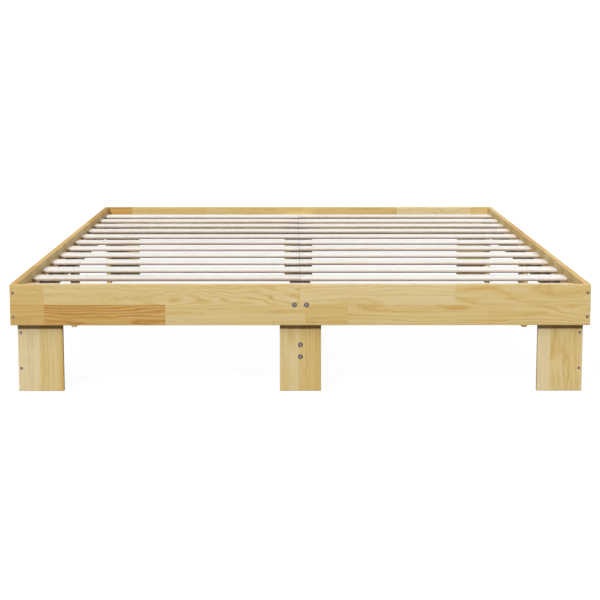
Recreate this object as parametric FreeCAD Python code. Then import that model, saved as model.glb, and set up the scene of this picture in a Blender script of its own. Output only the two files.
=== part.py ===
import FreeCAD, Part
import os
from FreeCAD import Vector

os.makedirs("parts", exist_ok=True)

# Low wooden bed frame: four rails round a slatted deck, on nine board legs.
# Millimetres.  The origin is the middle of the footprint, on the floor.
# +Z is up, the foot end looks towards -Y and +X is to the right of the foot end.

# Overall size
WIDTH = 1435.0
LENGTH = 2035.0
HEIGHT = 271.0

# Boards
BOARD = 15.0            # thickness of every rail and leg board
EASED = 1.0             # radius on the edges of the oak boards
RAIL_HEIGHT = 102.0
CORNER_LEG_WIDTH = 112.0
MID_LEG_LENGTH = 110.0
CENTRE_LEG_WIDTH = 103.0
CORNER_LEG_TOP = 213.0  # the battens stand on the corner and mid side legs

# Slatted deck
SLAT_ROWS = 12
SLAT_WIDTH = 70.0
SLAT_THICKNESS = 9.0
SLAT_EDGE = 3.0         # radius along the slats
SLAT_END_EDGE = 0.8
SLAT_UNDERSIDE = 243.0
SLAT_MARGIN = 90.0      # outside of the end rail to the first slat
SLAT_END_GAP = 1.0      # slat to side rail
SLAT_SEAM = 1.0         # between the two halves of a row

# Battens and centre beam
BATTEN_WIDTH = 20.0
BATTEN_HEIGHT = 30.0
BEAM_WIDTH = 54.0
BEAM_HEIGHT = 46.0

# Fasteners
SLACK = 0.05            # room round a fastener, on the radius and under its head
BOLT_PITCH = 30.0
BOLT_RADIUS = 3.0
BOLT_HEAD_RADIUS = 6.0
BOLT_HEAD_HEIGHT = 2.4
BOLT_SOCKET_RADIUS = 2.0
BOLT_SOCKET_DEPTH = 1.8
NUT_RADIUS = 5.0
NUT_LENGTH = 14.0
NUT_DEPTH = 30.0        # board end to the middle of the barrel nut
BOLT_PAST_NUT = 10.0
LEG_BOLT_HEIGHTS = (117.0, 87.0)
LEG_SCREW_HEIGHTS = (148.0, 58.0)
RAIL_SCREW_INSET = 21.0  # from the rail's top and bottom edges
BOARD_SCREW_RISE = 22.0  # above the rail's bottom edge
DRIVE_RADIUS = 1.3
DRIVE_DEPTH = 1.4

# Screws: head radius, head height, shank radius, length
CORNER_SCREW = (3.5, 3.0, 2.0, 50.0)
BOARD_SCREW = (3.5, 2.2, 1.75, 25.0)
BATTEN_SCREW = (3.5, 2.2, 1.75, 30.0)
SLAT_SCREW = (3.2, 2.0, 1.6, 25.0)
BEAM_SCREW = (4.5, 3.2, 2.5, 90.0)

# Derived positions
HALF_WIDTH = WIDTH / 2
HALF_LENGTH = LENGTH / 2
INNER_X = HALF_WIDTH - BOARD
INNER_Y = HALF_LENGTH - BOARD
RAIL_BOTTOM = HEIGHT - RAIL_HEIGHT
SLAT_TOP = SLAT_UNDERSIDE + SLAT_THICKNESS
BATTEN_BOTTOM = SLAT_UNDERSIDE - BATTEN_HEIGHT
BEAM_BOTTOM = SLAT_UNDERSIDE - BEAM_HEIGHT
BEAM_END = INNER_Y - BOARD
BOARD_SCREW_Z = RAIL_BOTTOM + BOARD_SCREW_RISE
SLAT_PITCH = (LENGTH - 2 * SLAT_MARGIN - SLAT_WIDTH) / (SLAT_ROWS - 1)

UP = Vector(0, 0, 1)
DOWN = Vector(0, 0, -1)
RIGHT = Vector(1, 0, 0)
BACK = Vector(0, 1, 0)

nodes = {}
groups = {}


def board(x_range, y_range, z_range, radius=EASED):
    """A rectangular board between the given limits, with every edge eased."""
    low = Vector(min(x_range), min(y_range), min(z_range))
    high = Vector(max(x_range), max(y_range), max(z_range))
    size = high - low
    block = Part.makeBox(size.x, size.y, size.z, low)
    return block.makeFillet(radius, block.Edges)


def turned(shape, seat, direction):
    """Turn a shape modelled along +Z so that it runs along direction from seat."""
    placed = shape.copy()
    rotation = FreeCAD.Rotation(UP, direction)
    placed.Placement = FreeCAD.Placement(seat, rotation)
    return placed


def screw_body(size, slack=0.0):
    """Countersunk screw along +Z, head face at the origin, with a pointed end."""
    head_radius, head_height, radius, length = size
    tip = 2 * radius
    wide = head_radius + slack
    thin = radius + slack
    profile = Part.makePolygon([
        Vector(0, 0, 0),
        Vector(wide, 0, 0),
        Vector(thin, 0, head_height),
        Vector(thin, 0, length - tip + slack),
        Vector(0, 0, length + slack),
        Vector(0, 0, 0),
    ])
    return Part.Face(profile).revolve(Vector(0, 0, 0), UP, 360)


def hexagon(radius, depth):
    """A hexagonal drive recess, going down from the origin along +Z."""
    ring = Part.makeCircle(radius)
    corners = ring.discretize(Number=7)
    return Part.Face(Part.makePolygon(corners)).extrude(UP * depth)


def screw(size):
    """The screw itself, with the recess for its driver."""
    return screw_body(size).cut(hexagon(DRIVE_RADIUS, DRIVE_DEPTH))


def bolt(length):
    """Flat-headed furniture bolt along +Z; length counts from under the head."""
    head = Part.makeCylinder(BOLT_HEAD_RADIUS, BOLT_HEAD_HEIGHT)
    rim = [edge for edge in head.Edges if edge.BoundBox.ZMax < 1e-6]
    head = head.makeFillet(0.8, rim)
    shank = Part.makeCylinder(BOLT_RADIUS, length, UP * BOLT_HEAD_HEIGHT)
    return head.fuse(shank).cut(hexagon(BOLT_SOCKET_RADIUS, BOLT_SOCKET_DEPTH))


def bolt_hole(length):
    """Counterbored hole for the bolt, along +Z from the face it enters."""
    seat = Part.makeCylinder(BOLT_HEAD_RADIUS + 0.2, BOLT_HEAD_HEIGHT)
    hole = Part.makeCylinder(BOLT_RADIUS + SLACK, length + BOLT_HEAD_HEIGHT + SLACK)
    return seat.fuse(hole)


def barrel_nut(bolt_direction, nut_direction, middle):
    """Cross dowel with the bolt's hole through its side."""
    start = middle - nut_direction * (NUT_LENGTH / 2)
    body = Part.makeCylinder(NUT_RADIUS, NUT_LENGTH, start, nut_direction)
    start = middle - bolt_direction * (2 * NUT_RADIUS)
    hole = Part.makeCylinder(BOLT_RADIUS + SLACK, 4 * NUT_RADIUS, start, bolt_direction)
    return body.cut(hole)


def drill(node_names, tool):
    """Cut one tool out of each named board."""
    for name in node_names:
        nodes[name] = nodes[name].cut(tool)


def fix_with_screw(group, size, seat, direction, through):
    """Drive a screw through the named boards and drill its hole in them."""
    groups.setdefault(group, []).append(turned(screw(size), seat, direction))
    drill(through, turned(screw_body(size, SLACK), seat, direction))


def fix_with_bolt(group, seat, direction, through, holding, nut_mouth):
    """Bolt boards together; the nut sits in a cross hole of the holding board.

    nut_mouth is the point on that board's surface where the nut is put in.
    """
    ends = [nodes[name].BoundBox for name in through]
    stack = sum(min(box.YLength, BOARD) for box in ends)
    middle = seat + direction * (stack + NUT_DEPTH)
    length = stack + NUT_DEPTH + BOLT_PAST_NUT - BOLT_HEAD_HEIGHT
    groups.setdefault(group, []).append(turned(bolt(length), seat, direction))
    drill(through + [holding], turned(bolt_hole(length), seat, direction))
    inward = Vector(middle) - nut_mouth
    inward.normalize()
    depth = (middle - nut_mouth).Length + NUT_LENGTH / 2 + SLACK
    cross_hole = Part.makeCylinder(NUT_RADIUS + SLACK, depth, nut_mouth, inward)
    drill([holding], cross_hole)
    groups.setdefault("barrel_nuts", []).append(barrel_nut(direction, inward, middle))


# Rails.  The end rails cover the ends of the side rails.
for end, sign in (("foot", -1), ("head", 1)):
    nodes[end + "_rail"] = board(
        (-HALF_WIDTH, HALF_WIDTH),
        (sign * INNER_Y, sign * HALF_LENGTH),
        (RAIL_BOTTOM, HEIGHT))
for side, sign in (("left", -1), ("right", 1)):
    nodes["side_rail_" + side] = board(
        (sign * INNER_X, sign * HALF_WIDTH),
        (-INNER_Y, INNER_Y),
        (RAIL_BOTTOM, HEIGHT))

# Battens along the side rails carry the outer ends of the slats.
for side, sign in (("left", -1), ("right", 1)):
    nodes["batten_" + side] = board(
        (sign * INNER_X, sign * (INNER_X - BATTEN_WIDTH)),
        (-INNER_Y, INNER_Y),
        (BATTEN_BOTTOM, SLAT_UNDERSIDE))

# The centre beam carries the inner ends of the slats.
nodes["centre_beam"] = board(
    (-BEAM_WIDTH / 2, BEAM_WIDTH / 2),
    (-BEAM_END, BEAM_END),
    (BEAM_BOTTOM, SLAT_UNDERSIDE))

# Corner legs: two boards that meet in an L behind the rails.
for end, y_sign in (("foot", -1), ("head", 1)):
    for side, x_sign in (("left", -1), ("right", 1)):
        leg = "corner_leg_" + end + "_" + side
        nodes[leg + "_end_board"] = board(
            (x_sign * (INNER_X - CORNER_LEG_WIDTH), x_sign * INNER_X),
            (y_sign * INNER_Y, y_sign * BEAM_END),
            (0, CORNER_LEG_TOP))
        nodes[leg + "_side_board"] = board(
            (x_sign * (INNER_X - BOARD), x_sign * INNER_X),
            (y_sign * BEAM_END, y_sign * (INNER_Y - CORNER_LEG_WIDTH)),
            (0, CORNER_LEG_TOP))

# Mid side legs: one board each, flat against the side rail.
for side, sign in (("left", -1), ("right", 1)):
    nodes["mid_leg_" + side] = board(
        (sign * (INNER_X - BOARD), sign * INNER_X),
        (-MID_LEG_LENGTH / 2, MID_LEG_LENGTH / 2),
        (0, CORNER_LEG_TOP))

# Centre legs: a cross board with a web behind it, in a T under the beam.
# The middle one is no wider than the beam it stands under.
# place: name, outer face of the cross board, direction of the web, width and top
# of the board
CENTRE_LEGS = (
    ("foot", -INNER_Y, 1, CENTRE_LEG_WIDTH, SLAT_UNDERSIDE),
    ("middle", -CORNER_LEG_WIDTH / 2, 1, BEAM_WIDTH, BEAM_BOTTOM),
    ("head", INNER_Y, -1, CENTRE_LEG_WIDTH, SLAT_UNDERSIDE),
)
for place, face_y, way, width, top in CENTRE_LEGS:
    web_y = face_y + way * BOARD
    nodes["centre_leg_" + place + "_board"] = board(
        (-width / 2, width / 2), (face_y, web_y), (0, top))
    nodes["centre_leg_" + place + "_web"] = board(
        (-BOARD / 2, BOARD / 2),
        (web_y, face_y + way * CORNER_LEG_WIDTH),
        (0, BEAM_BOTTOM))

# Slats: each row is two halves that meet over the beam.
slat_rows = []
for row in range(SLAT_ROWS):
    middle_y = -HALF_LENGTH + SLAT_MARGIN + SLAT_WIDTH / 2 + row * SLAT_PITCH
    slat_rows.append(middle_y)
    for side, sign in (("left", -1), ("right", 1)):
        inner = sign * SLAT_SEAM / 2
        outer = sign * (INNER_X - SLAT_END_GAP)
        block = Part.makeBox(
            abs(outer - inner), SLAT_WIDTH, SLAT_THICKNESS,
            Vector(min(inner, outer), middle_y - SLAT_WIDTH / 2, SLAT_UNDERSIDE))
        along = [edge for edge in block.Edges if edge.BoundBox.XLength > SLAT_WIDTH]
        slat = block.makeFillet(SLAT_EDGE, along)
        nodes["slat_%02d_%s" % (row + 1, side)] = slat

# Screws through the end rails into the end grain of the side rails.
for end, y_sign in (("foot", -1), ("head", 1)):
    for side, x_sign in (("left", -1), ("right", 1)):
        for z in (RAIL_BOTTOM + RAIL_SCREW_INSET, HEIGHT - RAIL_SCREW_INSET):
            seat = Vector(x_sign * (HALF_WIDTH - BOARD / 2), y_sign * HALF_LENGTH, z)
            fix_with_screw("rail_corner_screws", CORNER_SCREW, seat, BACK * -y_sign,
                           [end + "_rail", "side_rail_" + side])

# Screws that hold the two boards of each corner leg together.
for end, y_sign in (("foot", -1), ("head", 1)):
    for side, x_sign in (("left", -1), ("right", 1)):
        leg = "corner_leg_" + end + "_" + side
        for z in LEG_SCREW_HEIGHTS:
            seat = Vector(x_sign * (INNER_X - BOARD / 2), y_sign * INNER_Y, z)
            fix_with_screw("leg_corner_screws", CORNER_SCREW, seat, BACK * -y_sign,
                           [leg + "_end_board", leg + "_side_board"])

# Screws from the inside that hold the leg boards to the rails.
END_BOARD_SCREW_STEP = 30.0
SIDE_BOARD_SCREW_STEP = 20.0
CENTRE_BOARD_SCREW_STEP = 36.5
end_board_x = INNER_X - CORNER_LEG_WIDTH / 2
side_board_y = INNER_Y - (BOARD + CORNER_LEG_WIDTH) / 2
for end, y_sign in (("foot", -1), ("head", 1)):
    for side, x_sign in (("left", -1), ("right", 1)):
        leg = "corner_leg_" + end + "_" + side
        for step in (-END_BOARD_SCREW_STEP, END_BOARD_SCREW_STEP):
            seat = Vector(x_sign * end_board_x + step, y_sign * BEAM_END, BOARD_SCREW_Z)
            fix_with_screw("leg_board_screws", BOARD_SCREW, seat, BACK * y_sign,
                           [leg + "_end_board", end + "_rail"])
        for step in (-SIDE_BOARD_SCREW_STEP, SIDE_BOARD_SCREW_STEP):
            seat = Vector(x_sign * (INNER_X - BOARD), y_sign * side_board_y + step,
                          BOARD_SCREW_Z)
            fix_with_screw("leg_board_screws", BOARD_SCREW, seat, RIGHT * x_sign,
                           [leg + "_side_board", "side_rail_" + side])
    for step in (-CENTRE_BOARD_SCREW_STEP, CENTRE_BOARD_SCREW_STEP):
        seat = Vector(step, y_sign * BEAM_END, BOARD_SCREW_Z)
        fix_with_screw("leg_board_screws", BOARD_SCREW, seat, BACK * y_sign,
                       ["centre_leg_" + end + "_board", end + "_rail"])
for side, x_sign in (("left", -1), ("right", 1)):
    for step in (-END_BOARD_SCREW_STEP, END_BOARD_SCREW_STEP):
        seat = Vector(x_sign * (INNER_X - BOARD), step, BOARD_SCREW_Z)
        fix_with_screw("leg_board_screws", BOARD_SCREW, seat, RIGHT * x_sign,
                       ["mid_leg_" + side, "side_rail_" + side])

# Screws through the battens into the side rails, between the slats.
BATTEN_END_SCREW_Y = 960.0
batten_screw_rows = [-BATTEN_END_SCREW_Y, BATTEN_END_SCREW_Y]
batten_screw_rows += [2 * step * SLAT_PITCH for step in (-2, -1, 0, 1, 2)]
for side, x_sign in (("left", -1), ("right", 1)):
    for y in batten_screw_rows:
        seat = Vector(x_sign * (INNER_X - BATTEN_WIDTH), y,
                      BATTEN_BOTTOM + BATTEN_HEIGHT / 2)
        fix_with_screw("batten_screws", BATTEN_SCREW, seat, RIGHT * x_sign,
                       ["batten_" + side, "side_rail_" + side])

# Screws through the slats into the battens and the beam.
SLAT_SCREW_FROM_SEAM = 8.5
for row, y in enumerate(slat_rows):
    for side, x_sign in (("left", -1), ("right", 1)):
        slat = "slat_%02d_%s" % (row + 1, side)
        outer_x = x_sign * (INNER_X - BATTEN_WIDTH / 2)
        fix_with_screw("slat_screws", SLAT_SCREW, Vector(outer_x, y, SLAT_TOP), DOWN,
                       [slat, "batten_" + side])
        inner_x = x_sign * SLAT_SCREW_FROM_SEAM
        fix_with_screw("slat_screws", SLAT_SCREW, Vector(inner_x, y, SLAT_TOP), DOWN,
                       [slat, "centre_beam"])

# Bolts through the end rails and centre leg boards into the beam's ends.
bolt_z = (HEIGHT + RAIL_BOTTOM) / 2
for end, y_sign in (("foot", -1), ("head", 1)):
    for x in (-BOLT_PITCH / 2, BOLT_PITCH / 2):
        seat = Vector(x, y_sign * HALF_LENGTH, bolt_z)
        mouth = Vector(x, y_sign * (BEAM_END - NUT_DEPTH), BEAM_BOTTOM)
        fix_with_bolt("beam_bolts", seat, BACK * -y_sign,
                      [end + "_rail", "centre_leg_" + end + "_board"],
                      "centre_beam", mouth)

# Bolts that hold each centre leg's web to its board.
for place, face_y, way, width, top in CENTRE_LEGS:
    for z in LEG_BOLT_HEIGHTS:
        seat = Vector(0, face_y, z)
        mouth = Vector(-BOARD / 2, face_y + way * (BOARD + NUT_DEPTH), z)
        fix_with_bolt("centre_leg_bolts", seat, BACK * way,
                      ["centre_leg_" + place + "_board"],
                      "centre_leg_" + place + "_web", mouth)

# Screws down through the beam into the web of the middle leg.
BEAM_SCREW_STEP = 25.0
for y in (-BEAM_SCREW_STEP + BOARD / 2, BEAM_SCREW_STEP + BOARD / 2):
    fix_with_screw("beam_screws", BEAM_SCREW, Vector(0, y, SLAT_UNDERSIDE), DOWN,
                   ["centre_beam", "centre_leg_middle_web"])

for name, shapes in groups.items():
    nodes[name] = Part.makeCompound(shapes)

for name, shape in nodes.items():
    shape.exportStep("parts/" + name + ".step")

print(len(nodes), "nodes")
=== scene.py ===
# %% [markdown]
# # A low oak bed frame
#
# The frame is a set of plain boards: four rails round the edge, nine legs, a
# slatted deck, and the screws and bolts that hold them together.  The packed
# CAD model fixes where every board is.  This lesson gives each board the wood
# it is made of, then adds a floor, soft studio light and a camera.

# %% Load the fixed frame
import bpy
import bmesh
import math
import random
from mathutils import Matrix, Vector


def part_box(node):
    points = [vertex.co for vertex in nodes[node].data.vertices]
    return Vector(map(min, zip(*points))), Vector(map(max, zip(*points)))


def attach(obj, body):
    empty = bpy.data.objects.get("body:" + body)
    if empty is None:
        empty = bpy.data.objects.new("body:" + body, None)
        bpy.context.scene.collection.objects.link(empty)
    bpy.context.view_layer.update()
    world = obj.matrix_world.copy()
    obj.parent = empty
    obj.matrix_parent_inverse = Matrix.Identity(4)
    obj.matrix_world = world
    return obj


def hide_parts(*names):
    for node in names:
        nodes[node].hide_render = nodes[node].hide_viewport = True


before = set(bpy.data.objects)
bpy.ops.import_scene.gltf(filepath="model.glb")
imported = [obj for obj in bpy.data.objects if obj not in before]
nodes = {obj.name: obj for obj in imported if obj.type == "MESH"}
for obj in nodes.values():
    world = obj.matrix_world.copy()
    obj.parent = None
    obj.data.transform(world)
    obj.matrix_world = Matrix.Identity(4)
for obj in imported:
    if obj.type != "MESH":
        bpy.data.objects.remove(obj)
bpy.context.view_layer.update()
lottery = random.Random(41)

# %% [markdown]
# ## Helpers for building materials
#
# A procedural material is a small network of nodes.  A few helpers keep the
# recipes short: they add a node and fill its sockets, do arithmetic on numbers
# and vectors, ease a number, make noise, and mix colours.  A value can be a
# plain number or the output of another node.


# %% Node helpers
def fill(tree, socket, value):
    """Link a socket to another node's output, or set its plain value."""
    if isinstance(value, bpy.types.NodeSocket):
        tree.links.new(value, socket)
    else:
        socket.default_value = value


def add(tree, kind, settings=None, **sockets):
    """Add a node, set its options, and fill its input sockets by name."""
    node = tree.nodes.new(kind)
    for name, value in (settings or {}).items():
        setattr(node, name, value)
    for name, value in sockets.items():
        fill(tree, node.inputs[name.replace("_", " ")], value)
    return node


def calc(tree, operation, *values):
    """Arithmetic on numbers; gives the result's output."""
    node = tree.nodes.new("ShaderNodeMath")
    node.operation = operation
    for socket, value in zip(node.inputs, values):
        fill(tree, socket, value)
    return node.outputs[0]


def vector_calc(tree, operation, *values):
    """Arithmetic on vectors; gives the result's output."""
    node = tree.nodes.new("ShaderNodeVectorMath")
    node.operation = operation
    for socket, value in zip(node.inputs, values):
        fill(tree, socket, value)
    return node.outputs[0]


def smooth_step(tree, value, low, high, to_low=0.0, to_high=1.0):
    """Ease a number from one range to another without a hard corner."""
    node = add(tree, "ShaderNodeMapRange", {"interpolation_type": "SMOOTHSTEP"},
               Value=value, From_Min=low, From_Max=high, To_Min=to_low, To_Max=to_high)
    return node.outputs["Result"]


def noise(tree, place, detail=2.0, roughness=0.5):
    """Soft cloud noise at a place that is already scaled."""
    node = add(tree, "ShaderNodeTexNoise", Vector=place, Scale=1.0, Detail=detail,
               Roughness=roughness)
    return node


def colour_ramp(tree, value, stops):
    """Turn a number from 0 to 1 into a colour through the given stops."""
    node = add(tree, "ShaderNodeValToRGB", Fac=value)
    ramp = node.color_ramp
    while len(ramp.elements) < len(stops):
        ramp.elements.new(0.5)
    for element, (position, colour) in zip(ramp.elements, stops):
        element.position = position
        element.color = (*colour, 1.0)
    return node.outputs["Color"]


COLOUR_A, COLOUR_B, COLOUR_OUT = 6, 7, 2    # a Mix node's colour sockets


def mix_colour(tree, factor, first, second, blend="MIX"):
    """Mix two colours; gives the result's output."""
    node = add(tree, "ShaderNodeMix", {"data_type": "RGBA", "blend_type": blend})
    fill(tree, node.inputs["Factor"], factor)
    fill(tree, node.inputs[COLOUR_A], first)
    fill(tree, node.inputs[COLOUR_B], second)
    return node.outputs[COLOUR_OUT]


def new_group(name, inputs, outputs):
    """A shader node group with named sockets; gives the tree and its two ends."""
    tree = bpy.data.node_groups.new(name, "ShaderNodeTree")
    for socket, kind in inputs:
        tree.interface.new_socket(socket, in_out="INPUT", socket_type=kind)
    for socket, kind in outputs:
        tree.interface.new_socket(socket, in_out="OUTPUT", socket_type=kind)
    return tree, tree.nodes.new("NodeGroupInput"), tree.nodes.new("NodeGroupOutput")


# %% [markdown]
# ## Wood figure
#
# A tree grows in rings round its pith, so a board is a slice through nested
# tubes.  A solid texture can copy that: measure how far a point lies from the
# pith line, let slow noise bend the tubes, and read the distance as growth
# rings.  The same recipe then gives arches on a flat-sawn face, straight lines
# on a quarter-sawn face and arcs on the end grain, with no extra work.  Pores
# and streaks are noise that is stretched along the grain.  A painted plank
# pattern would be quicker, but it would not agree round the corner of a board.

# %% The wood figure group
NUMBER = "NodeSocketFloat"
VECTOR = "NodeSocketVector"
figure_group, figure_in, figure_out = new_group(
    "Wood figure",
    [("From Pith", VECTOR), ("Seed", NUMBER),
     ("Ring Width", NUMBER), ("Wander", NUMBER)],
    [("Rings", NUMBER), ("Pores", NUMBER), ("Streaks", NUMBER),
     ("Drift", NUMBER), ("Rays", NUMBER)])


def build_figure(tree, start, end):
    """Growth rings, pores, streaks, slow drift and rays; the grain runs along X."""
    seed = add(tree, "ShaderNodeCombineXYZ",
               X=calc(tree, "MULTIPLY", start.outputs["Seed"], 7.31),
               Y=calc(tree, "MULTIPLY", start.outputs["Seed"], 3.17),
               Z=calc(tree, "MULTIPLY", start.outputs["Seed"], 5.73)).outputs[0]

    def stretched(along, across):
        scaled = vector_calc(tree, "MULTIPLY", start.outputs["From Pith"],
                             (along, across, across))
        return vector_calc(tree, "ADD", scaled, seed)

    bend = noise(tree, stretched(3.2, 11.0), detail=3.0).outputs["Color"]
    bend = vector_calc(tree, "SUBTRACT", bend, (0.5, 0.5, 0.5))
    wander = add(tree, "ShaderNodeVectorMath", {"operation": "SCALE"},
                 Scale=start.outputs["Wander"])
    tree.links.new(bend, wander.inputs[0])
    bent = vector_calc(tree, "ADD", start.outputs["From Pith"], wander.outputs[0])
    part = add(tree, "ShaderNodeSeparateXYZ", Vector=bent)
    square_y = calc(tree, "MULTIPLY", part.outputs["Y"], part.outputs["Y"])
    square_z = calc(tree, "MULTIPLY", part.outputs["Z"], part.outputs["Z"])
    radius = calc(tree, "SQRT", calc(tree, "ADD", square_y, square_z))
    turns = calc(tree, "DIVIDE", radius, start.outputs["Ring Width"])
    year = calc(tree, "FRACT", turns)
    early = smooth_step(tree, year, 0.0, 0.42, 1.0, 0.0)
    late = smooth_step(tree, year, 0.7, 1.0, 0.0, 0.8)
    depth = smooth_step(tree, noise(tree, stretched(2.0, 45.0)).outputs["Fac"],
                        0.3, 0.7, 0.35, 1.0)
    rings = calc(tree, "MULTIPLY", calc(tree, "ADD", early, late), depth)
    tree.links.new(rings, end.inputs["Rings"])

    fine = noise(tree, stretched(55.0, 1300.0), detail=1.0).outputs["Fac"]
    open_pore = smooth_step(tree, fine, 0.58, 0.70)
    where = calc(tree, "MULTIPLY_ADD", early, 0.7, 0.3)
    tree.links.new(calc(tree, "MULTIPLY", open_pore, where), end.inputs["Pores"])

    tree.links.new(noise(tree, stretched(5.0, 210.0), detail=3.0).outputs["Fac"],
                   end.inputs["Streaks"])
    tree.links.new(noise(tree, stretched(2.2, 26.0), detail=2.0).outputs["Fac"],
                   end.inputs["Drift"])

    angle = calc(tree, "ARCTAN2", part.outputs["Z"], part.outputs["Y"])
    ray_place = add(tree, "ShaderNodeCombineXYZ",
                    X=calc(tree, "MULTIPLY", part.outputs["X"], 70.0),
                    Y=calc(tree, "MULTIPLY", angle, 38.0),
                    Z=calc(tree, "MULTIPLY", radius, 60.0)).outputs[0]
    ray = noise(tree, vector_calc(tree, "ADD", ray_place, seed), detail=1.0)
    tree.links.new(smooth_step(tree, ray.outputs["Fac"], 0.62, 0.74), end.inputs["Rays"])


build_figure(figure_group, figure_in, figure_out)
print("wood figure:", len(figure_group.nodes), "nodes")

# %% [markdown]
# ## Worn edges
#
# The arrises of a handled board are rubbed pale and a little smoother.  Each
# board carries an edge value of one on its eased edges, so the wear follows the
# real corners.  Noise breaks it up, because hands and cloths never wear evenly.

# %% The edge wear group
wear_group, wear_in, wear_out = new_group(
    "Edge wear",
    [("Place", VECTOR), ("Edge", NUMBER), ("Amount", NUMBER)],
    [("Mask", NUMBER)])


def build_wear(tree, start, end):
    """Broken-up mask along the eased edges."""
    place = vector_calc(tree, "MULTIPLY", start.outputs["Place"], (38.0, 38.0, 38.0))
    patches = smooth_step(tree, noise(tree, place, detail=3.0).outputs["Fac"], 0.35, 0.65,
                          0.25, 1.0)
    mask = calc(tree, "MULTIPLY", patches, start.outputs["Edge"])
    tree.links.new(calc(tree, "MULTIPLY", mask, start.outputs["Amount"]),
                   end.inputs["Mask"])


build_wear(wear_group, wear_in, wear_out)

# %% [markdown]
# ## Wood materials
#
# Every wooden piece uses the same recipe with its own values: the colours from
# pale to dark, how strongly rings and pores show, and the way the grain runs.
# A Mapping node turns the figure so that its X axis lies along the board.  Each
# stave has two values of its own: where its pith lies, and a look that holds
# its tone, its seed and how lively its figure is.  On some faces the tone also
# carries painted shade.

# %% The wood recipe
RAY_STRENGTH = 0.22
WEAR_AMOUNT = 0.25
PORE_TINT = (0.42, 0.30, 0.20, 1.0)
PORE_DEPTH = 0.0004
OILED_SPECULAR = 0.28
GRAIN_TURN = {"x": (0.0, 0.0, 0.0),
              "y": (0.0, 0.0, -math.pi / 2),
              "z": (0.0, math.pi / 2, 0.0)}


def make_wood(name, grain, stops, ring_width, wander, ring_strength, pore_strength,
              streak_strength, gloss, bump):
    """A wood material whose grain runs along the given axis."""
    material = bpy.data.materials.new(name)
    material.use_nodes = True
    tree = material.node_tree
    shader = tree.nodes["Principled BSDF"]
    shader.inputs["Specular IOR Level"].default_value = OILED_SPECULAR
    place = add(tree, "ShaderNodeTexCoord").outputs["Object"]
    pith = add(tree, "ShaderNodeAttribute", {"attribute_name": "stave_pith"})
    look = add(tree, "ShaderNodeAttribute", {"attribute_name": "stave_look"})
    edge = add(tree, "ShaderNodeAttribute", {"attribute_name": "edge"})
    parts = add(tree, "ShaderNodeSeparateXYZ", Vector=look.outputs["Vector"])
    tone, seed, lively = parts.outputs
    from_pith = vector_calc(tree, "SUBTRACT", place, pith.outputs["Vector"])
    turned = add(tree, "ShaderNodeMapping", {"vector_type": "POINT"}, Vector=from_pith,
                 Rotation=GRAIN_TURN[grain]).outputs[0]
    figure = add(tree, "ShaderNodeGroup", {"node_tree": figure_group}, From_Pith=turned,
                 Seed=seed, Ring_Width=ring_width,
                 Wander=calc(tree, "MULTIPLY_ADD", lively, wander, wander * 0.25))
    wear = add(tree, "ShaderNodeGroup", {"node_tree": wear_group}, Place=place,
               Edge=edge.outputs["Fac"], Amount=WEAR_AMOUNT)

    rings = calc(tree, "MULTIPLY", figure.outputs["Rings"],
                 calc(tree, "MULTIPLY_ADD", lively, ring_strength, ring_strength * 0.35))
    drift = calc(tree, "MULTIPLY", calc(tree, "SUBTRACT", figure.outputs["Drift"], 0.5),
                 streak_strength)
    streak = calc(tree, "MULTIPLY", calc(tree, "SUBTRACT", figure.outputs["Streaks"], 0.5),
                  streak_strength)
    shade = calc(tree, "ADD", calc(tree, "ADD", tone, rings),
                 calc(tree, "ADD", drift, streak))
    colour = colour_ramp(tree, shade, stops)
    palest = (*stops[0][1], 1.0)
    ray_share = calc(tree, "MULTIPLY", figure.outputs["Rays"], RAY_STRENGTH)
    pale = mix_colour(tree, ray_share, colour, palest)
    worn = mix_colour(tree, wear.outputs["Mask"], pale, palest)
    pore_share = calc(tree, "MULTIPLY", figure.outputs["Pores"], pore_strength)
    fill(tree, shader.inputs["Base Color"],
         mix_colour(tree, pore_share, worn, PORE_TINT, "MULTIPLY"))

    rough = calc(tree, "MULTIPLY_ADD", figure.outputs["Pores"], 0.18, gloss)
    rough = calc(tree, "MULTIPLY_ADD", figure.outputs["Streaks"], 0.10, rough)
    rough = calc(tree, "MULTIPLY_ADD", wear.outputs["Mask"], -0.12, rough)
    fill(tree, shader.inputs["Roughness"], rough)
    relief = calc(tree, "MULTIPLY_ADD", figure.outputs["Pores"], -1.0,
                  calc(tree, "MULTIPLY", figure.outputs["Rings"], -0.35))
    bump_node = add(tree, "ShaderNodeBump", Height=relief, Strength=bump,
                    Distance=PORE_DEPTH)
    fill(tree, shader.inputs["Normal"], bump_node.outputs["Normal"])
    return material


# %% [markdown]
# The oak runs from straw to a warm orange brown.  The slats are a pale,
# even-grained wood with hardly any pores.  The battens are a plainer, browner
# wood, because nobody is meant to see them.  The beam is given the dark end of
# the same colours as painted shade, for the shade under the deck.

# %% Make the wood materials
OAK_STOPS = [(0.0, (0.715, 0.600, 0.355)), (0.18, (0.686, 0.552, 0.290)),
             (0.38, (0.651, 0.491, 0.205)), (0.55, (0.617, 0.434, 0.155)),
             (0.70, (0.584, 0.380, 0.124)), (0.85, (0.546, 0.314, 0.080)),
             (1.0, (0.440, 0.225, 0.050))]
SLAT_STOPS = [(0.0, (0.722, 0.722, 0.695)), (0.40, (0.674, 0.653, 0.612)),
              (0.70, (0.590, 0.486, 0.400)), (1.0, (0.22, 0.140, 0.095))]
SUPPORT_STOPS = [(0.0, (0.60, 0.43, 0.22)), (0.5, (0.40, 0.25, 0.12)),
                 (1.0, (0.055, 0.030, 0.018))]
oak = {grain: make_wood("oak_along_" + grain, grain, OAK_STOPS, ring_width=0.0062,
                        wander=0.034, ring_strength=0.23, pore_strength=0.45,
                        streak_strength=0.42, gloss=0.42, bump=0.5)
       for grain in "xyz"}
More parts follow.
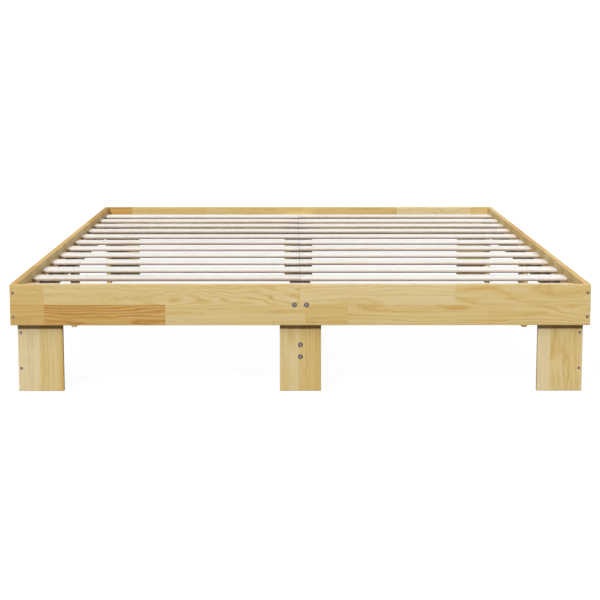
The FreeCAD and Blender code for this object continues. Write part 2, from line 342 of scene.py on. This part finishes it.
slat_wood = make_wood("slat_wood", "x", SLAT_STOPS, ring_width=0.0085, wander=0.03,
                      ring_strength=0.10, pore_strength=0.15, streak_strength=0.16,
                      gloss=0.46, bump=0.25)
support_wood = make_wood("support_wood", "y", SUPPORT_STOPS, ring_width=0.0060,
                         wander=0.03, ring_strength=0.30, pore_strength=0.5,
                         streak_strength=0.4, gloss=0.50, bump=0.4)
print("materials:", len(bpy.data.materials))

# %% [markdown]
# ## Boards glued from staves
#
# An oak rail this long is glued up from shorter staves, so its colour changes
# in blocks.  The board's shape is right in the frame already, down to its
# drilled holes and eased edges.  So each board starts as a copy of that mesh,
# welded into one skin, and is sliced along the glue lines with bisect_plane.
# Each face is then told which stave it belongs to.  Modelling the staves as
# separate blocks would leave hidden walls inside the board.  The copied mesh
# brings stored normals that no longer fit once it is cut, so they are removed.

# %% Build a board
AXES = "xyz"
WELD = 1e-6
FLAT = 0.985            # a normal this near an axis is a flat face, not an eased edge
UNDER_SLOPE = -0.12     # an eased edge whose normal dips below this is a lower arris
SEEDS = 40              # range of the number that shifts a stave's noise
PITH_BELOW = (0.018, 0.045)
PITH_ASIDE = 0.022
CREASE = math.radians(30)


def cut_all(mesh, axis, position):
    """Slice every face of the mesh where it crosses a plane."""
    normal = Vector((0, 0, 0))
    normal[axis] = 1.0
    bmesh.ops.bisect_plane(mesh, geom=mesh.verts[:] + mesh.edges[:] + mesh.faces[:],
                           dist=WELD, plane_co=normal * position, plane_no=normal)


def pick_stave(lamellas, across_value, along_value):
    """The lamella and stave that a point lies in."""
    for row, (limit, staves) in enumerate(lamellas):
        if across_value <= limit or row == len(lamellas) - 1:
            for number, (stave_end, tone, lively) in enumerate(staves):
                if along_value <= stave_end or number == len(staves) - 1:
                    return row, number, tone, lively


def wooden_piece(node, grain, lamellas, material, side_painted_shade=0.0, arris_painted_shade=None,
                 top_painted_shade=0.0):
    """Copy a node's shape, slice it into staves and give it a wood material.

    lamellas is a list of (upper limit across, staves), and staves is a list of
    (end along the grain, tone, liveliness), all from low to high.
    side_painted_shade deepens the narrow faces and top_painted_shade the faces that
    look up, both as painted shade.  arris_painted_shade replaces the tone of the
    lower eased edges with a dark painted shade.
    """
    low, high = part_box(node)
    along = AXES.index(grain)
    others = sorted((a for a in range(3) if a != along), key=lambda a: high[a] - low[a])
    thick, across = others
    mesh = bmesh.new()
    mesh.from_mesh(nodes[node].data)
    bmesh.ops.remove_doubles(mesh, verts=mesh.verts[:], dist=WELD)
    for limit, staves in lamellas:
        if low[across] < limit < high[across]:
            cut_all(mesh, across, limit)
        for stave_end, tone, lively in staves[:-1]:
            if low[along] < stave_end < high[along]:
                cut_all(mesh, along, stave_end)
    data = bpy.data.meshes.new(node + "_wood")
    looks = {}
    pith_values, look_values, edge_values = [], [], []
    mesh.normal_update()
    for face in mesh.faces:
        centre = face.calc_center_median()
        row, number, tone, lively = pick_stave(lamellas, centre[across], centre[along])
        if (row, number) not in looks:
            seed = lottery.uniform(0, SEEDS)
            below = lottery.choice((-1, 1)) * lottery.uniform(*PITH_BELOW)
            aside = lottery.uniform(-PITH_ASIDE, PITH_ASIDE)
            looks[row, number] = (seed, below, aside)
        seed, below, aside = looks[row, number]
        bottom = lamellas[row - 1][0] if row else low[across]
        top = min(lamellas[row][0], high[across])
        pith = Vector((0, 0, 0))
        pith[thick] = (low[thick] + high[thick]) / 2 + below
        pith[across] = (bottom + top) / 2 + aside
        pith_values.extend(pith)
        sideways = math.sqrt(max(0.0, 1.0 - face.normal[thick] ** 2))
        # Painted shade: narrow faces, upward faces and lower arrises take deeper tones.
        tone += side_painted_shade * sideways
        if face.normal.z > FLAT:
            tone += top_painted_shade
        if arris_painted_shade is not None and -FLAT < face.normal.z < UNDER_SLOPE:
            tone = arris_painted_shade
        look_values.extend((tone, seed, lively))
        edge_values.append(0.0 if max(abs(v) for v in face.normal) > FLAT else 1.0)
        face.smooth = edge_values[-1] > 0.5
    mesh.to_mesh(data)
    mesh.free()
    if "custom_normal" in data.attributes:
        data.attributes.remove(data.attributes["custom_normal"])
    data.attributes.new("stave_pith", "FLOAT_VECTOR", "FACE").data.foreach_set(
        "vector", pith_values)
    data.attributes.new("stave_look", "FLOAT_VECTOR", "FACE").data.foreach_set(
        "vector", look_values)
    data.attributes.new("edge", "FLOAT", "FACE").data.foreach_set("value", edge_values)
    data.set_sharp_from_angle(angle=CREASE)
    data.materials.append(material)
    piece = bpy.data.objects.new(node + "_wood", data)
    bpy.context.scene.collection.objects.link(piece)
    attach(piece, "root")
    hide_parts(node)
    return piece


def random_staves(low, high, tones, shortest=0.24, longest=0.46):
    """Staves of random length, tone and liveliness between two ends."""
    staves = []
    reached = low
    while reached < high - longest:
        reached += lottery.uniform(shortest, longest)
        staves.append((reached, lottery.uniform(*tones), lottery.uniform(0.1, 0.9)))
    staves.append((high, lottery.uniform(*tones), lottery.uniform(0.1, 0.9)))
    return staves


# %% [markdown]
# The foot rail is what one sees first, so its staves are listed one by one.  Two
# lamellas run along it, one above the other.  One short stave in the lower one
# is clearly darker, and the wild figure of the one above its end catches the
# eye.  The head rail's upper lamella is listed the same way, and its lower one
# and the side rails are laid out by chance.
# The rails' top faces look straight at most of the lamps and would wash out, so
# they get a deeper tone, which is painted shade.

# %% Rails
RAIL_SPLIT = 0.2205      # height of the glue line between the two lamellas
RAIL_TOP = 0.272
# painted shade: a deeper tone on the rails' top faces
RAIL_TOP_PAINTED_SHADE = 0.30
HALF_WIDTH = 0.7175
SIDE_RAIL_HALF = 1.0025
foot_lower = [(-0.634, 0.60, 0.3), (-0.334, 0.71, 1.3), (0.012, 0.28, 0.5),
              (0.117, 0.45, 0.5), (0.8, 0.33, 1.1)]
foot_upper = [(-0.634, 0.42, 0.2), (-0.335, 0.27, 0.7), (-0.001, 0.14, 2.4),
              (0.382, 0.17, 0.8), (0.8, 0.30, 1.2)]
head_upper = [(-0.616, 0.80, 0.4), (-0.340, 0.42, 0.4), (-0.088, 0.38, 0.4),
              (0.366, 0.44, 0.5), (0.640, 0.02, 2.2), (0.8, 0.44, 0.3)]
head_lower = random_staves(-HALF_WIDTH, HALF_WIDTH, (0.2, 0.6))
rails = {}
for rail, lower, upper in (("foot_rail", foot_lower, foot_upper),
                           ("head_rail", head_lower, head_upper)):
    rails[rail] = wooden_piece(rail, "x", [(RAIL_SPLIT, lower), (RAIL_TOP, upper)],
                               oak["x"], top_painted_shade=RAIL_TOP_PAINTED_SHADE)
for side in ("left", "right"):
    rail = "side_rail_" + side
    rows = [(limit, random_staves(-SIDE_RAIL_HALF, SIDE_RAIL_HALF, (0.25, 0.6)))
            for limit in (RAIL_SPLIT, RAIL_TOP)]
    rails[rail] = wooden_piece(rail, "y", rows, oak["y"], top_painted_shade=RAIL_TOP_PAINTED_SHADE)
for rail, piece in rails.items():
    print(rail, len(piece.data.polygons), "faces")

# %% [markdown]
# ## Legs
#
# The leg boards stand on end, so their lamellas are upright strips from side to
# side.  The three legs at the foot end are listed one by one, and the others
# divide their width by chance.

# %% Leg boards
LEG_STRIPS = {
    "corner_leg_foot_left_end_board": [(-0.6465, 0.02, 0.7), (-0.598, 0.27, 0.5),
                                       (-0.59, 0.50, 0.1)],
    "corner_leg_foot_right_end_board": [(0.6218, 0.04, 0.3), (0.6713, 0.23, 1.5),
                                        (0.71, 0.31, 0.5)],
    "centre_leg_foot_board": [(0.001, 0.25, 0.6), (0.06, 0.45, 1.1)],
}


def leg_lamellas(node):
    """Upright strips for a leg board, each one stave from floor to top."""
    low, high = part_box(node)
    across = max((0, 1), key=lambda a: high[a] - low[a])
    if node in LEG_STRIPS:
        strips = LEG_STRIPS[node]
    else:
        middle = low[across] + (high[across] - low[across]) * lottery.uniform(0.35, 0.65)
        strips = [(middle, lottery.uniform(0.15, 0.5), lottery.uniform(0.2, 1.0)),
                  (high[across], lottery.uniform(0.15, 0.5), lottery.uniform(0.2, 1.0))]
    return [(limit, [(high[2], tone, lively)]) for limit, tone, lively in strips]


leg_boards = [n for n in sorted(nodes) if "_leg_" in n and "bolts" not in n]
leg_boards = [n for n in leg_boards if n.endswith(("board", "web", "left", "right"))]
for node in leg_boards:
    wooden_piece(node, "z", leg_lamellas(node), oak["z"])
print("leg boards:", len(leg_boards))

# %% [markdown]
# ## Slats, battens and beam
#
# Each slat is one piece of pale wood, so it is a single stave.  Its tone
# changes a little from one to the next, as in any bundle of slats.  Seen from
# low down, pale slats run together, so their sides are given painted shade, a
# deeper tone, and their lower arris a dark painted shade, and each slat keeps
# its own outline.  The beam takes the darkest tone of the support wood as
# painted shade, for the shade under the slats.

# %% Slats and supports
# painted shade: deeper slat sides and dark lower arrises
SLAT_SIDE_PAINTED_SHADE = 0.45
SLAT_ARRIS_PAINTED_SHADE = 1.0
# painted shade: the beam's dark tone stands in for the shade under the slats
BEAM_PAINTED_SHADE = 1.1
for node in sorted(n for n in nodes if n.startswith("slat_") and n != "slat_screws"):
    low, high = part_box(node)
    look = (high[0], lottery.uniform(0.10, 0.34), lottery.uniform(0.1, 0.7))
    wooden_piece(node, "x", [(high[1], [look])], slat_wood,
                 side_painted_shade=SLAT_SIDE_PAINTED_SHADE, arris_painted_shade=SLAT_ARRIS_PAINTED_SHADE)
for node in ("batten_left", "batten_right", "centre_beam"):
    low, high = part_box(node)
    across = 0 if high[0] - low[0] > high[2] - low[2] else 2
    tone = lottery.uniform(0.3, 0.5)
    look = (high[1], BEAM_PAINTED_SHADE if node == "centre_beam" else tone, 0.5)
    wooden_piece(node, "y", [(high[across], [look])], support_wood)

# %% [markdown]
# ## Screws and bolts
#
# The fasteners are zinc-plated steel.  Each head gets painted shade towards its
# rim, where it sits down in its hole, so each point of a fastener is told
# how far it lies from the axis, as a share of the head's radius.  Blotches of
# roughness and fine scratches do the rest.

# %% Zinc-plated steel
ZINC_STOPS = [(0.3, (0.34, 0.325, 0.36)), (0.5, (0.44, 0.42, 0.46)),
              (0.7, (0.54, 0.52, 0.56))]
# painted shade: each head darkens towards its rim
RIM_PAINTED_SHADE_TINT = (0.14, 0.12, 0.13, 1.0)
RIM_SHADE_FROM, RIM_SHADE_FULL = 0.50, 0.92    # shares of the head's radius
RIM_SHADE_MOST = 0.92
SCRATCH_DEPTH = 0.0001


def make_zinc():
    """Dull grey plated steel with painted shade at the rim, blotches and scratches."""
    material = bpy.data.materials.new("zinc_steel")
    material.use_nodes = True
    tree = material.node_tree
    shader = tree.nodes["Principled BSDF"]
    place = add(tree, "ShaderNodeTexCoord").outputs["Object"]
    rim = add(tree, "ShaderNodeAttribute", {"attribute_name": "rim"}).outputs["Fac"]
    blotch = noise(tree, vector_calc(tree, "MULTIPLY", place, (420.0, 420.0, 420.0)),
                   detail=3.0).outputs["Fac"]
    scratch = noise(tree, vector_calc(tree, "MULTIPLY", place, (2600.0, 2600.0, 300.0)),
                    detail=2.0).outputs["Fac"]
    colour = colour_ramp(tree, blotch, ZINC_STOPS)
    # painted shade towards the rim of each head
    rim_shade = smooth_step(tree, rim, RIM_SHADE_FROM, RIM_SHADE_FULL, 0.0, RIM_SHADE_MOST)
    fill(tree, shader.inputs["Base Color"],
         mix_colour(tree, rim_shade, colour, RIM_PAINTED_SHADE_TINT, "MULTIPLY"))
    shader.inputs["Metallic"].default_value = 0.85
    rough = calc(tree, "MULTIPLY_ADD", scratch, 0.25, calc(
        tree, "MULTIPLY_ADD", blotch, 0.2, 0.32))
    fill(tree, shader.inputs["Roughness"], rough)
    bump = add(tree, "ShaderNodeBump", Height=scratch, Strength=0.2, Distance=SCRATCH_DEPTH)
    fill(tree, shader.inputs["Normal"], bump.outputs["Normal"])
    return material


zinc = make_zinc()
print("steel:", len(zinc.node_tree.nodes), "nodes")

# %% [markdown]
# Identical fasteners share one frame node, so a node holds several loose shapes.
# Walking from point to point along the edges gathers them one at a time.  Each
# one's own middle then gives its axis, and so how near its rim a point lies.


# %% Fasteners
def islands(mesh):
    """The mesh's points, gathered into one list for each fastener."""
    waiting = set(mesh.verts)
    while waiting:
        group = []
        edge_of_search = [waiting.pop()]
        while edge_of_search:
            point = edge_of_search.pop()
            group.append(point)
            for edge in point.link_edges:
                other = edge.other_vert(point)
                if other in waiting:
                    waiting.remove(other)
                    edge_of_search.append(other)
        yield group


def steel_piece(node):
    """Copy a group of fasteners and tell each point how near the rim it is."""
    mesh = bmesh.new()
    mesh.from_mesh(nodes[node].data)
    bmesh.ops.remove_doubles(mesh, verts=mesh.verts[:], dist=WELD)
    mesh.verts.index_update()
    rim = [0.0] * len(mesh.verts)
    for group in islands(mesh):
        low = [min(point.co[axis] for point in group) for axis in range(3)]
        high = [max(point.co[axis] for point in group) for axis in range(3)]
        length = max(range(3), key=lambda axis: high[axis] - low[axis])
        round_axes = [axis for axis in range(3) if axis != length]
        reach = [math.hypot(*(point.co[a] - (low[a] + high[a]) / 2 for a in round_axes))
                 for point in group]
        widest = max(reach)
        for point, distance in zip(group, reach):
            rim[point.index] = distance / widest
    data = bpy.data.meshes.new(node + "_steel")
    mesh.to_mesh(data)
    mesh.free()
    if "custom_normal" in data.attributes:
        data.attributes.remove(data.attributes["custom_normal"])
    data.attributes.new("rim", "FLOAT", "POINT").data.foreach_set("value", rim)
    data.shade_smooth()
    data.set_sharp_from_angle(angle=CREASE)
    data.materials.append(zinc)
    piece = bpy.data.objects.new(node + "_steel", data)
    bpy.context.scene.collection.objects.link(piece)
    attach(piece, "root")
    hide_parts(node)


fasteners = [n for n in nodes if n.endswith(("screws", "bolts", "nuts"))]
for node in fasteners:
    steel_piece(node)
print("fastener groups:", len(fasteners))

# %% [markdown]
# ## Floor and light
#
# The bed stands in a bright, nearly shadowless studio.  A pale floor that bright
# would also throw light up under the slats and wash out the dark gaps, so this
# one is two materials in one, and a Light Path node chooses between them.  To
# the camera it is nearly white and glows, with only a trace of shadow.  To all
# other rays it is dark and matt, which a real pale floor would not be.  From
# below it is clear, so that the underside of the bed can be seen.

# %% Floor
FLOOR_DROP = 0.0004      # keeps the floor from flickering through the legs' ends
FLOOR_REACH = 60.0
floor_mesh = bmesh.new()
bmesh.ops.create_grid(floor_mesh, x_segments=1, y_segments=1, size=FLOOR_REACH)
bmesh.ops.translate(floor_mesh, verts=floor_mesh.verts[:], vec=(0, 0, -FLOOR_DROP))
floor_data = bpy.data.meshes.new("floor")
floor_mesh.to_mesh(floor_data)
floor_mesh.free()
floor = bpy.data.objects.new("floor", floor_data)
bpy.context.scene.collection.objects.link(floor)


FLOOR_DARK = (0.12, 0.095, 0.075, 1.0)
FLOOR_SHADOW = (0.12, 0.12, 0.12, 1.0)
FLOOR_GLOW = 0.93
WHITE = (1.0, 1.0, 1.0, 1.0)


def make_floor_paint():
    """White to the camera with a faint shadow, dark to other rays, clear from below."""
    material = bpy.data.materials.new("pale_floor")
    material.use_nodes = True
    tree = material.node_tree
    shader = tree.nodes["Principled BSDF"]
    shader.inputs["Base Color"].default_value = FLOOR_DARK
    shader.inputs["Roughness"].default_value = 0.9
    glow = add(tree, "ShaderNodeEmission", Color=WHITE, Strength=FLOOR_GLOW)
    faint = add(tree, "ShaderNodeBsdfDiffuse", Color=FLOOR_SHADOW)
    seen = add(tree, "ShaderNodeAddShader")
    tree.links.new(glow.outputs[0], seen.inputs[0])
    tree.links.new(faint.outputs[0], seen.inputs[1])
    path = add(tree, "ShaderNodeLightPath")
    mix = add(tree, "ShaderNodeMixShader", Fac=path.outputs["Is Camera Ray"])
    tree.links.new(shader.outputs[0], mix.inputs[1])
    tree.links.new(seen.outputs[0], mix.inputs[2])
    underside = add(tree, "ShaderNodeNewGeometry").outputs["Backfacing"]
    either = add(tree, "ShaderNodeMixShader", Fac=underside)
    tree.links.new(mix.outputs[0], either.inputs[1])
    tree.links.new(add(tree, "ShaderNodeBsdfTransparent").outputs[0], either.inputs[2])
    tree.links.new(either.outputs[0], tree.nodes["Material Output"].inputs["Surface"])
    return material


floor_data.materials.append(make_floor_paint())

# %% [markdown]
# The light comes from lamps far enough away that both ends of the bed get the
# same amount, which is what a sun lamp does.  The key is fairly compact and
# low, so the rails throw a short dark shadow on the legs.  Two broad soft lamps,
# one each side, soften that shadow's edge, and a third lights the back.  The
# world is white where the camera sees it and only a dim warm glow as a light.


# %% Lights
LAMP_DISTANCE = 6.0      # a sun lamp's place doesn't change its light
DIM_WORLD, BRIGHT_WORLD = 0.08, 1.1
WORLD_TINT = (1.0, 0.78, 0.60, 1.0)


def far_light(name, azimuth, elevation, strength, spread):
    """A distant soft light; azimuth 0 shines from the foot end, 90 from the right."""
    data = bpy.data.lights.new(name, "SUN")
    data.energy = strength
    data.angle = math.radians(spread)
    lamp = bpy.data.objects.new(name, data)
    turn, rise = math.radians(azimuth), math.radians(elevation)
    towards = Vector((math.sin(turn) * math.cos(rise), -math.cos(turn) * math.cos(rise),
                      math.sin(rise)))
    lamp.location = towards * LAMP_DISTANCE
    lamp.rotation_euler = (-towards).to_track_quat("-Z", "Y").to_euler()
    bpy.context.scene.collection.objects.link(lamp)


far_light("key", -18.0, 37.0, 2.55, 7.0)
far_light("soft_left", -60.0, 50.0, 1.08, 40.0)
far_light("soft_right", 60.0, 50.0, 1.28, 40.0)
far_light("back_fill", 165.0, 42.0, 1.00, 40.0)

world = bpy.data.worlds.new("studio")
bpy.context.scene.world = world
world.use_nodes = True
sky = world.node_tree
backdrop = sky.nodes["Background"]
sky_path = add(sky, "ShaderNodeLightPath")
level = add(sky, "ShaderNodeMapRange", Value=sky_path.outputs["Is Camera Ray"],
            To_Min=DIM_WORLD, To_Max=BRIGHT_WORLD)
tint = mix_colour(sky, sky_path.outputs["Is Camera Ray"], WORLD_TINT, WHITE)
fill(sky, backdrop.inputs["Color"], tint)
fill(sky, backdrop.inputs["Strength"], level.outputs["Result"])
bpy.context.scene.view_settings.view_transform = "Standard"
print("lamps:", len(bpy.data.lights))

# %% [markdown]
# ## Camera
#
# The camera stands nearly five metres from the middle of the bed and about
# 0.83 m above the floor, and looks a little down along the bed with a long lens.

# %% Camera
CAMERA_PLACE = (-0.0160, -4.9249, 0.8309)
CAMERA_DIP = 0.1520      # radians below the horizon
CAMERA_TURN = 0.0038     # radians to the right of straight ahead
LENS_TO_FRAME = 2.6687   # focal length over frame width
camera_data = bpy.data.cameras.new("camera")
camera_data.sensor_width = 36.0
camera_data.lens = LENS_TO_FRAME * camera_data.sensor_width
camera = bpy.data.objects.new("camera", camera_data)
camera.location = CAMERA_PLACE
camera.rotation_euler = (math.pi / 2 - CAMERA_DIP, 0.0, -CAMERA_TURN)
bpy.context.scene.collection.objects.link(camera)
bpy.context.scene.camera = camera
print("camera lens:", round(camera_data.lens, 1), "mm")
